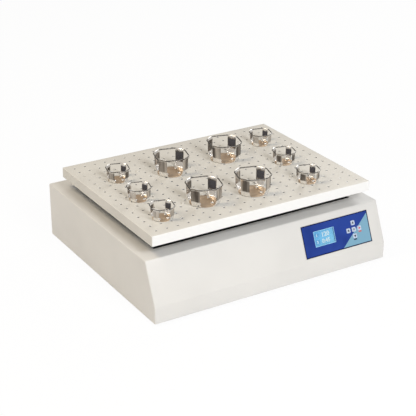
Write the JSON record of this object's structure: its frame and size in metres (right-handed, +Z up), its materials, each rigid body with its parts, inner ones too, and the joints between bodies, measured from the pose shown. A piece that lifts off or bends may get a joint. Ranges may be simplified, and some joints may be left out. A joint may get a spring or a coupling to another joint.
{
  "type": "open platform orbital shaker",
  "caption": "Open benchtop orbital shaker: low housing with slanted control panel, perforated platform on eccentric shafts, wire-hooped flask clamps.",
  "frame": {"origin": "on the bench, at the middle of the footprint of the whole object", "axes": "+X to the right along the front, +Y to the back, +Z up; the front with the control panel faces -Y"},
  "size_m": [0.695, 0.59, 0.2661],
  "materials": {
    "housing_paint": "semi-gloss powder coat, warm white",
    "platform_paint": "satin powder coat, warm grey-white",
    "well_paint": "matt black",
    "pan_steel": "plain grey paint",
    "foot_rubber": "matt",
    "frame_paint": "plain grey paint",
    "bearing_iron": "machined",
    "shaft_steel": "turned",
    "pulley_aluminium": "turned",
    "belt_rubber": "matt",
    "motor_paint": "satin black",
    "supply_case": "plain sheet",
    "board": "green board",
    "panel_plastic": "royal blue",
    "lcd_glass": "clear window",
    "lcd_case": "cyan-blue display",
    "key_plastic": "pale caps",
    "black_plastic": "fine texture",
    "clamp_steel": "stainless sheet",
    "hoop_steel": "drawn stainless wire",
    "screw_steel": "bright"
  },
  "bodies": {
    "housing": {"base_pan": "pan_steel", "housing_cover": "housing_paint", "rear_panel": "housing_paint", "drive_well": "well_paint", "rubber_feet": "foot_rubber", "bearing_frame": "frame_paint", "shaft_bearings": "bearing_iron", "drive_belt": "belt_rubber", "motor_bracket": "frame_paint", "motor_body": "motor_paint", "power_supply": "supply_case", "driver_board": "board", "board_standoffs": "screw_steel", "control_panel": "panel_plastic", "lcd_window": "lcd_glass", "lcd_module": "lcd_case", "display_board": "board", "key_switches": "black_plastic", "power_inlet": "black_plastic", "fuse_drawer": "black_plastic", "switch_frame": "black_plastic", "rear_screws": "screw_steel"},
    "key_up": {"key_up": "key_plastic"},
    "key_left": {"key_left": "key_plastic"},
    "key_centre": {"key_centre": "key_plastic"},
    "key_right": {"key_right": "key_plastic"},
    "key_down": {"key_down": "key_plastic"},
    "rocker": {"power_rocker": "black_plastic"},
    "crank": {"crank_shaft": "shaft_steel", "driven_pulley": "pulley_aluminium"},
    "motor_rotor": {"motor_shaft": "shaft_steel", "motor_pulley": "pulley_aluminium"},
    "idler_left": {"idler_shaft_left": "shaft_steel"},
    "idler_right": {"idler_shaft_right": "shaft_steel"},
    "platform": {"platform_carrier": "frame_paint", "pin_bearings": "bearing_iron", "platform_tray": "platform_paint", "tray_screws": "screw_steel", "flask_clamp_large_1": "clamp_steel", "flask_clamp_large_2": "clamp_steel", "flask_clamp_large_3": "clamp_steel", "flask_clamp_large_4": "clamp_steel", "flask_clamp_small_1": "clamp_steel", "flask_clamp_small_2": "clamp_steel", "flask_clamp_small_3": "clamp_steel", "flask_clamp_small_4": "clamp_steel", "flask_clamp_small_5": "clamp_steel", "flask_clamp_small_6": "clamp_steel", "clamp_hoops_large": "hoop_steel", "clamp_hoops_small": "hoop_steel", "clamp_screws": "screw_steel"}
  },
  "joints": [
    {"name": "crank_turn", "type": "hinge", "parent": "housing", "child": "crank", "pos_m": [0, 0.136, 0.06], "axis": [0, 0, 1], "continuous": true},
    {"name": "platform_orbit", "type": "hinge", "parent": "crank", "child": "platform", "pos_m": [0, 0.1235, 0.17], "axis": [0, 0, 1], "continuous": true},
    {"name": "idler_left_turn", "type": "hinge", "parent": "housing", "child": "idler_left", "pos_m": [-0.10392, -0.044, 0.06], "axis": [0, 0, 1], "continuous": true},
    {"name": "idler_right_turn", "type": "hinge", "parent": "housing", "child": "idler_right", "pos_m": [0.10392, -0.044, 0.06], "axis": [0, 0, 1], "continuous": true},
    {"name": "motor_turn", "type": "hinge", "parent": "housing", "child": "motor_rotor", "pos_m": [-0.17327, 0.136, 0.04], "axis": [0, 0, 1], "continuous": true},
    {"name": "rocker_tilt", "type": "hinge", "parent": "housing", "child": "rocker", "pos_m": [0.1995, 0.2865, 0.062], "axis": [1, 0, 0], "range_deg": [-14, 0]},
    {"name": "key_up_press", "type": "slide", "parent": "housing", "child": "key_up", "axis": [0, 0.9211, -0.3892], "range_m": [0, 0.001], "stiffness_N_per_m": 800, "springref_m": -0.0005},
    {"name": "key_left_press", "type": "slide", "parent": "housing", "child": "key_left", "axis": [0, 0.9211, -0.3892], "range_m": [0, 0.001], "stiffness_N_per_m": 800, "springref_m": -0.0005},
    {"name": "key_centre_press", "type": "slide", "parent": "housing", "child": "key_centre", "axis": [0, 0.9211, -0.3892], "range_m": [0, 0.001], "stiffness_N_per_m": 800, "springref_m": -0.0005},
    {"name": "key_right_press", "type": "slide", "parent": "housing", "child": "key_right", "axis": [0, 0.9211, -0.3892], "range_m": [0, 0.001], "stiffness_N_per_m": 800, "springref_m": -0.0005},
    {"name": "key_down_press", "type": "slide", "parent": "housing", "child": "key_down", "axis": [0, 0.9211, -0.3892], "range_m": [0, 0.001], "stiffness_N_per_m": 800, "springref_m": -0.0005}
  ],
  "couplings": [
    {"joint": "platform_orbit", "follows": "crank_turn", "ratio": -1},
    {"joint": "idler_left_turn", "follows": "crank_turn", "ratio": 1},
    {"joint": "idler_right_turn", "follows": "crank_turn", "ratio": 1},
    {"joint": "motor_turn", "follows": "crank_turn", "ratio": 3}
  ]
}
